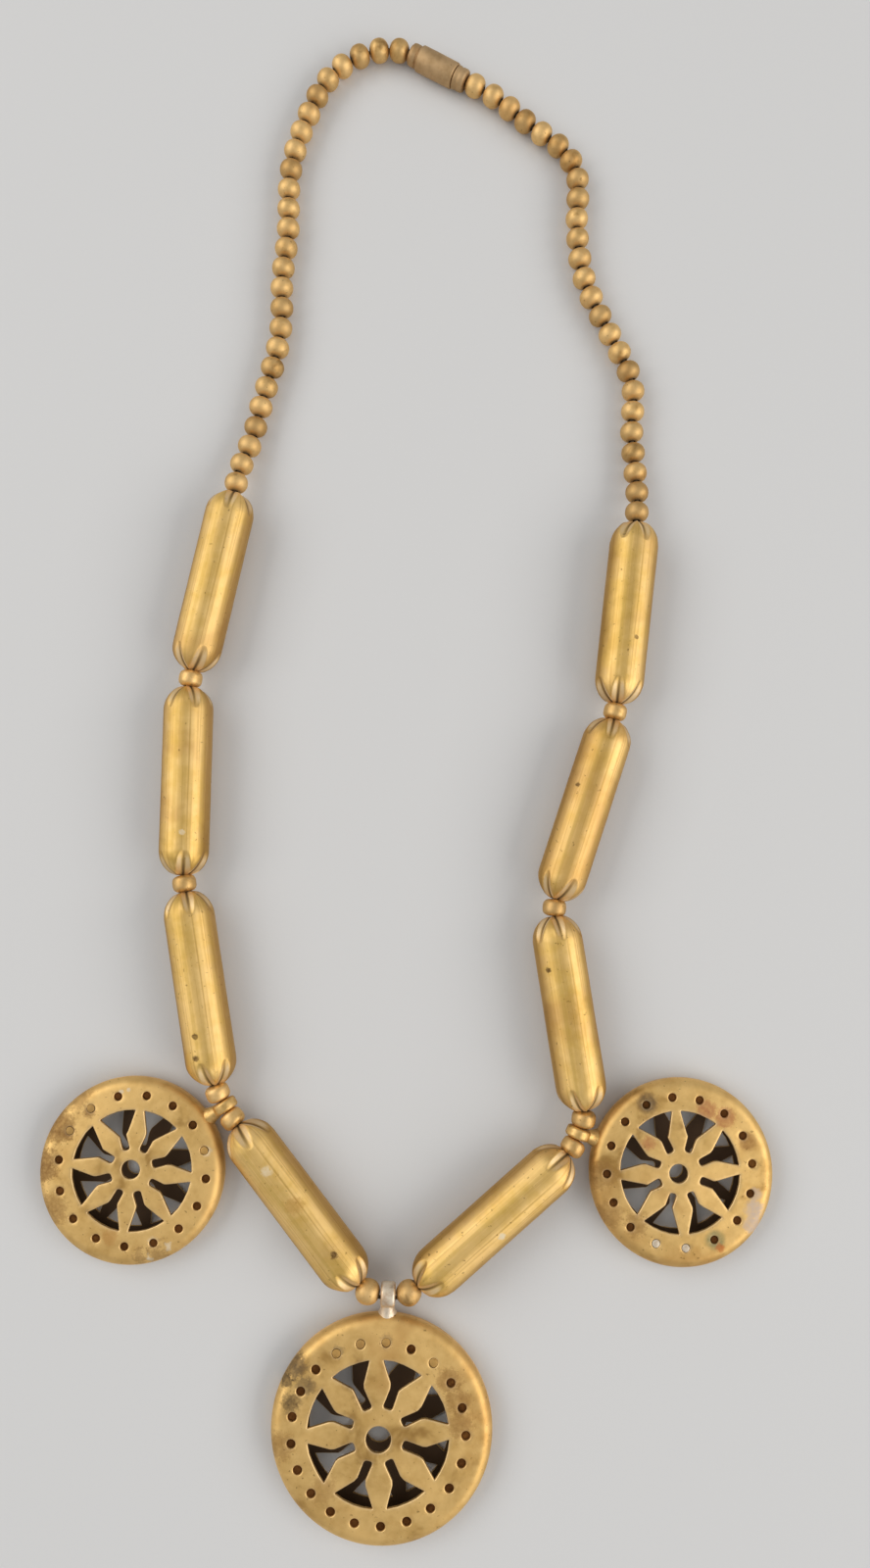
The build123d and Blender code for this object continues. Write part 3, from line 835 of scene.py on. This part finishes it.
def opening_outlines(size, turn):
    """The eight sawn openings of one cap, each a little off the others."""
    pierced = size.pierced_diameter / 2
    step = pi / petal_count
    widest = hypot(size.petal_widest, size.petal_width / 2)
    shoulder = step - atan2(size.petal_width / 2, size.petal_widest)
    flare = (widest * cos(shoulder), widest * sin(shoulder))
    corner = step - np.arcsin(size.petal_neck / 2)
    half = size.slot_width / 2
    side = [(size.slot_start, half), (flare[0] - size.slot_flare, half), flare]
    rim = [(cos(corner * share), sin(corner * share)) for share in (-1.0, -0.5, 0, 0.5, 1.0)]
    flow = np.array([(x, -y) for x, y in side] + rim + side[::-1]) * pierced
    radii = [opening_corner] * len(flow)
    radii[0] = radii[-1] = slot_end
    outlines = []
    for number in range(petal_count):
        angle = radians(turn + 180 / petal_count + number * 360 / petal_count)
        hand = chance.normal(0, saw_wander, flow.shape)
        hand[len(side):-len(side)] *= 0.3
        about = np.array([(cos(angle), -sin(angle)), (sin(angle), cos(angle))])
        outlines.append(rounded((flow + hand) @ about.T + np.array(size.off_centre), radii))
    return outlines


def hole_middles(size):
    """The middles of the holes that were punched by eye round the front."""
    middles = []
    for number in range(size.hole_count):
        even = size.first_hole - number * 360 / size.hole_count
        angle = radians(even + size.hole_drift * cos(radians(even - size.drift_peak)))
        middles.append((size.off_centre[0] + cos(angle) * size.hole_circle / 2,
                        size.off_centre[1] + sin(angle) * size.hole_circle / 2))
    return middles


def nearest(points, outlines):
    """How far each point is from the nearest of some outlines."""
    best = np.full(len(points), np.inf)
    for outline in outlines:
        run = np.roll(outline, -1, 0) - outline
        away = points[:, None, :] - outline[None]
        share = np.clip((away * run[None]).sum(2) / (run**2).sum(1)[None], 0, 1)
        gap = np.linalg.norm(away - share[..., None] * run[None], axis=2)
        best = np.minimum(best, gap.min(1))
    return best


def inside(points, outline):
    """Which points lie inside an outline."""
    x, y = points[:, 0, None], points[:, 1, None]
    x1, y1 = outline[:, 0], outline[:, 1]
    x2, y2 = np.roll(x1, -1), np.roll(y1, -1)
    crosses = (y1 > y) != (y2 > y)
    with np.errstate(divide="ignore", invalid="ignore"):
        at = (x2 - x1) * (y - y1) / (y2 - y1) + x1
    return ((crosses & (x < at)).sum(1) % 2) == 1


def pierced_plate(outlines, radius):
    """A flat round plate with openings, in well shaped triangles, and how far in from the
    openings' edges each of its corners is."""
    edge = circle((0, 0), radius, rim_sides)
    rows = int(radius / plate_spacing) + 2
    lattice = np.array([((i + 0.5 * (j % 2)) * plate_spacing, j * plate_spacing * 0.866)
                        for j in range(-rows - 2, rows + 3) for i in range(-rows - 2, rows + 3)])
    lattice = lattice[np.linalg.norm(lattice, axis=1) < radius - plate_margin]
    near = []
    for outline in outlines:
        run = np.roll(outline, -1, 0) - np.roll(outline, 1, 0)
        side = np.stack([run[:, 1], -run[:, 0]], 1) / np.linalg.norm(run, axis=1)[:, None]
        for reach in (edge_round * 0.35, edge_round):
            for way in (-1, 1):
                ring = outline + side * reach * way
                near.append(ring[nearest(ring, outlines) > reach * 0.8])
    near = np.concatenate(near)
    lattice = lattice[nearest(lattice, outlines) > edge_round + opening_margin]
    loose = np.concatenate([near, lattice])
    for outline in outlines:
        loose = loose[~inside(loose, outline)]
    points, edges = [], []
    for outline in outlines + [edge]:
        first = len(points)
        points += list(outline)
        edges += [(first + i, first + (i + 1) % len(outline)) for i in range(len(outline))]
    points += list(loose)
    cut = delaunay_2d_cdt([Vector(point) for point in points], edges, [], 0, 1e-5, False)
    corners = np.array([corner[:] for corner in cut[0]])
    faces = np.array(cut[2])
    middles = corners[faces].mean(1)
    keep = np.linalg.norm(middles, axis=1) < radius
    for outline in outlines:
        keep &= ~inside(middles, outline)
    return corners, faces[keep], nearest(corners, outlines)


def open_edges(faces):
    """The edges that only one triangle of a plate has."""
    sides = np.concatenate([faces[:, [0, 1]], faces[:, [1, 2]], faces[:, [2, 0]]])
    _, first, count = np.unique(np.sort(sides, 1), axis=0, return_index=True, return_counts=True)
    return sides[first[count == 1]]


def rim_profile(radius, fillet, low, high, seam):
    """Down the rim from the front cap to the back one, with the seam between them."""
    turns = np.linspace(0, pi / 2, rim_steps)
    down = [(radius - fillet + fillet * sin(t), high - fillet + fillet * cos(t)) for t in turns]
    up = [(r, low + high - z) for r, z in reversed(down)]
    middle = (low + high) / 2
    lip = [(0, 0.18), (seam, 0.05), (seam, -0.05), (seam * 0.3, -0.2)] if seam else []
    return down + [(radius - depth, middle + height) for depth, height in lip] + up


def beaten(points, seed, reach):
    """A gentle unevenness of hand beaten sheet, fading out towards the rim."""
    waves = np.random.default_rng(seed)
    level = np.zeros(len(points))
    for wave in range(beaten_waves):
        way = waves.normal(0, 1 / beaten_size, 2)
        level += np.sin(points @ way + waves.uniform(0, 2 * pi)) / beaten_waves**0.5
    fade = np.clip((reach - np.linalg.norm(points, axis=1)) / 2.5, 0, 1)
    return level * beaten_depth * fade * fade * (3 - 2 * fade)


def pressed_cap(size, outlines, is_front, reach, seed):
    """One cap's corners outside and inside, its faces, each corner's painted shade and dirt, and its
    wear.
    """
    flat, triangles, edge_gap = pierced_plate(outlines, reach)
    count = len(flat)
    ease = 1 - np.clip(edge_gap / edge_round, 0, 1)
    ease = edge_round * (1 - np.sqrt(1 - ease**2))
    away = np.linalg.norm(flat, axis=1) / reach
    uneven = beaten(flat, seed + is_front, reach)
    if is_front:
        body = cap_top + pendant_crown * (1 - away**2) + uneven
        outer, inner = body - ease, body - pendant_wall
    else:
        outer, inner = ease, pendant_wall + uneven * 0.6
    faces = [*triangles] + [face[::-1] + count for face in triangles]
    faces += [(b, a, a + count, b + count) for a, b in open_edges(triangles)
              if min(away[a], away[b]) < 0.995]
    # Painted shade and dirt: every inside face of the cap is darkened, less at the openings' edges.
    dark_inside = np.where(edge_gap < 0.01, 0.25, 1.0)
    rubbed = (np.clip(1 - abs(edge_gap / edge_round - 0.5) * 1.6, 0, 1) * is_front
              * np.where(away > (size.pierced_diameter / 2 + 1) / reach, 0.45, 1.0))
    return (np.vstack([np.column_stack([flat, outer]), np.column_stack([flat, inner])]), faces,
            np.concatenate([np.zeros(count), dark_inside]), np.concatenate([rubbed, np.zeros(count)]))


def rim_ring(profile, dark):
    """A rim turned from a profile: its corners, its faces, each corner's painted shade and dirt, and
    its wear.
    """
    ways = circle((0, 0), 1, rim_sides)
    corners = [(across * x, across * y, height) for across, height in profile for x, y in ways]
    faces = []
    for row in range(0, len(corners) - rim_sides, rim_sides):
        for side in range(rim_sides):
            on = (side + 1) % rim_sides
            faces.append((row + side, row + on, row + rim_sides + on, row + rim_sides + side))
    rubbed = [seam_wear * (not dark and abs(height - cap_top / 2) < seam_reach)
              for across, height in profile]
    return np.array(corners), faces, np.full(len(corners), dark), np.repeat(rubbed, rim_sides)


def make_pendant(size, seed):
    """One pendant's two caps and rim as one closed shell, standing for its node's drum."""
    finish = aged_brass(size.name + "_brass", (236, 198, 128), (216, 176, 106), (158, 116, 58),
                        patch=9.0, rough=0.54, marks=size.marks)
    low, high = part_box(size.name)
    radius = size.diameter / 2
    # The ring reaches past the drum on one side, so the drum is placed from its free side.
    base = Vector((high.x / mm - radius if size.free_side > 0 else low.x / mm + radius,
                   low.y / mm + radius))
    reach = radius - rim_radius
    hub = circle(np.add(size.off_centre, size.hub_off), size.hub_hole / 2, hub_sides)
    holes = [circle(middle, size.hole_size / 2, hole_sides) for middle in hole_middles(size)]
    front = opening_outlines(size, size.petal_turn)
    back = opening_outlines(size, size.petal_turn + size.back_turn)
    parts = [pressed_cap(size, front + [hub] + holes, True, reach, seed),
             pressed_cap(size, back + [hub], False, reach, seed),
             rim_ring(rim_profile(radius, rim_radius, 0, cap_top, seam_depth), 0.0),
             # Painted shade and dirt: the inner rim is darkened all over.
             rim_ring(rim_profile(radius - pendant_wall, rim_radius - pendant_wall, pendant_wall,
                                  cap_top - pendant_wall, 0), 1.0)]
    faces = []
    start = 0
    for part in parts:
        faces += [[int(corner) + start for corner in face] for face in part[1]]
        start += len(part[0])
    places = np.concatenate([part[0] for part in parts])
    turns = 2 * np.arctan2(places[:, 1], places[:, 0]) + seed
    squash = 1 + out_of_round * np.cos(turns) - out_of_round
    places[:, :2] *= squash[:, None]
    places[:, :2] += base
    mesh = bpy.data.meshes.new(size.name + "_caps")
    mesh.from_pydata((places * mm).tolist(), [], faces)
    for text, column in (("hollow", 2), ("worn", 3)):
        note = mesh.attributes.new(text, "FLOAT", "POINT")
        values = np.concatenate([part[column] for part in parts])
        note.data.foreach_set("value", values.astype(np.float32))
    shell = bmesh.new()
    shell.from_mesh(mesh)
    bmesh.ops.remove_doubles(shell, verts=shell.verts, dist=2 * weld_distance)
    bmesh.ops.recalc_face_normals(shell, faces=shell.faces)
    shell.to_mesh(mesh)
    shell.free()
    mesh.shade_smooth()
    mesh.set_sharp_from_angle(angle=radians(cap_sharp_angle))
    mesh.materials.append(finish)
    piece = added(size.name + "_caps", mesh)
    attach(piece, "root")
    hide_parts(size.name)
    return base


def lump_profile(radius, thickness=0.12):
    """Round a lump of old dirt or solder that sits in a punched hole."""
    return [(-thickness, 0), (-thickness, radius), (-0.05, radius), (0, radius * 0.7),
            (0.05, radius * 0.3), (0.05, 0)]


hole_dirt = aged_brass("hole_dirt", (128, 86, 46), (104, 66, 34), (70, 44, 22),
                       patch=1.5, rough=0.85)
upright = turn_to(Vector((0.001, 0, 1)).normalized())
bases = {}
for seed, size in enumerate((left_size, right_size, centre_size)):
    base = bases[size.name] = make_pendant(size, 10 * seed)
    dark_inside, full = [], []
    for number, (x, y) in enumerate(hole_middles(size)):
        filled = number in size.filled
        rise = pendant_thickness - pendant_crown * (hypot(x, y) / (size.diameter / 2)) ** 2
        place = Vector((base.x + x, base.y + y, rise - (filling_depth if filled else dirt_depth)))
        lie = Lie(place * mm, upright, tint=chance.random())
        (full if filled else dark_inside).append(lie)
    hole_filling = aged_brass(size.name + "_filling", size.filling, size.filling, (156, 126, 84),
                              patch=1.5, rough=0.62)
    for text, lies, finish in (("dirt", dark_inside, hole_dirt), ("fillings", full, hole_filling)):
        turned_piece(f"{size.name}_hole_{text}", turned, lump_profile(size.hole_size / 2 - 0.01),
                     lies, Making(finish, sides=20, unevenness=0.12, dent_size=0.5,
                                  seed=40.0 + seed))


# Rings: a short turned ring stands on each pendant's rim, held by a run of solder, and
# the thread goes through it.
ring_diameter = 4.1
ring_hole = 1.7
ring_width = 1.8
bail_width = 2.4
bail_rise = 0.4
ring_height = 3.8
neck_diameter = 3.0
neck_tip_diameter = 2.1
ring_edge = 0.5
ring_chamfer = 0.15
solder_start = 0.8 * pendant_wall
solder_overlap = 0.25


def ring_profile(width):
    """Round a ring's section, with rounded edges."""
    half, outer, inner = width / 2, ring_diameter / 2, ring_hole / 2
    turns = np.linspace(0, pi / 2, 5)
    left = [(-half + ring_edge - ring_edge * cos(t), outer - ring_edge + ring_edge * sin(t))
            for t in turns]
    right = [(-x, radius) for x, radius in reversed(left)]
    corner = [(half, inner + ring_chamfer), (half - ring_chamfer, inner)]
    start, mouth = [(-x, radius) for x, radius in reversed(corner)]
    return [start, mouth] + left + right + corner + [start]


def neck_profile(length):
    """The solder between a rim and its ring: wide where it wets the rim, then a stem."""
    flare = (neck_diameter - neck_tip_diameter) / 2
    stem = [(share * length, neck_tip_diameter / 2 + flare * (1 - share) ** 2.2 * 1.5)
            for share in np.linspace(0, 1, 12)]
    return [(0, 0.0)] + stem + [(length, 0.0)]


def ring_lie(size):
    """A ring's middle and axis, midway between the beads on both its sides."""
    if size is centre_size:
        beads = ("left_bail_bead", "right_bail_bead")
    else:
        side = size.name.split("_")[0]
        beads = (side + "_inner_bead", side + "_outer_bead")
    left, right = (lie_of(bead)[0][0] for bead in beads)
    axis = (right - left).normalized()
    middle = (left + right) / 2
    if size is centre_size:
        middle -= Vector((-axis.y, axis.x, 0)).normalized() * bail_rise * mm
        middle.z = ring_height * mm
    return middle, axis


ring_brass = aged_brass("ring_brass", (232, 194, 126), (208, 168, 100), (142, 104, 54),
                        patch=3.0, rough=0.48)
bail_brass = aged_brass("bail_brass", (240, 226, 204), (222, 202, 174), (156, 132, 98),
                        patch=2.0, rough=0.50)
for number, (size, width, brass) in enumerate((
        (left_size, ring_width, ring_brass), (right_size, ring_width, ring_brass),
        (centre_size, bail_width, bail_brass))):
    middle, axis = ring_lie(size)
    turned_piece(size.name.replace("pendant", "ring"), turned, ring_profile(width),
                 [Lie(middle, turn_to(axis))],
                 Making(brass, sides=48, unevenness=0.06, dent_size=1.6, seed=20.0 + number))
    base = bases[size.name]
    to_ring = Vector((middle.x / mm - base.x, middle.y / mm - base.y, 0)).normalized()
    root = Vector((base.x, base.y, cap_top / 2)) + to_ring * (size.diameter / 2 - solder_start)
    stem = middle / mm - root
    turned_piece(size.name.replace("pendant", "solder"), turned,
                 neck_profile(stem.length - ring_hole / 2 - solder_overlap),
                 [Lie(root * mm, turn_to(stem.normalized()))],
                 Making(brass, sides=40, unevenness=0.12, dent_size=1.2, seed=30.0 + number))


# Floor and light: a plain pale floor under soft studio light from two wide panels, one at
# each side of the necklace, so that the rolled tubes show two light bands along them.
floor_reach = 3.0
floor_drop = 0.02 * mm
floor_grain = 900.0
floor_mesh = bpy.data.meshes.new("floor")
floor_mesh.from_pydata([(x * floor_reach, y * floor_reach, 0)
                        for x, y in ((-1, -1), (1, -1), (1, 1), (-1, 1))], [], [(0, 1, 2, 3)])
floor = added("floor", floor_mesh)
floor.location.z = -floor_drop
floor_material, make = new_material("pale_floor")
place = make.add("ShaderNodeTexCoord", output="Object")
surface(make, (0.64, 0.635, 0.62, 1), 0.7, 0.0, make.noise(place, floor_grain) * (0.02 * mm))
floor_mesh.materials.append(floor_material)


def soft_light(name, place, power, tint):
    """A wide panel of light that faces the middle of the necklace."""
    data = bpy.data.lights.new(name, "AREA")
    data.shape = "RECTANGLE"
    data.size = 1.6
    data.size_y = 0.8
    data.energy = power
    data.color = tint
    lamp = added(name, data)
    lamp.location = place
    lamp.rotation_euler = (-Vector(place)).to_track_quat("-Z", "Y").to_euler()


soft_light("window", (1.15, -0.40, 0.80), 12.0, (1.0, 0.97, 0.94))
soft_light("lamp", (-1.0, 0.35, 0.90), 9.5, (1.0, 0.98, 0.96))
world = bpy.data.worlds.new("studio")
world.use_nodes = True
background = world.node_tree.nodes["Background"]
background.inputs["Color"].default_value = (0.92, 0.94, 0.98, 1)
background.inputs["Strength"].default_value = 0.50
bpy.context.scene.world = world
bpy.context.scene.view_settings.view_transform = "Standard"
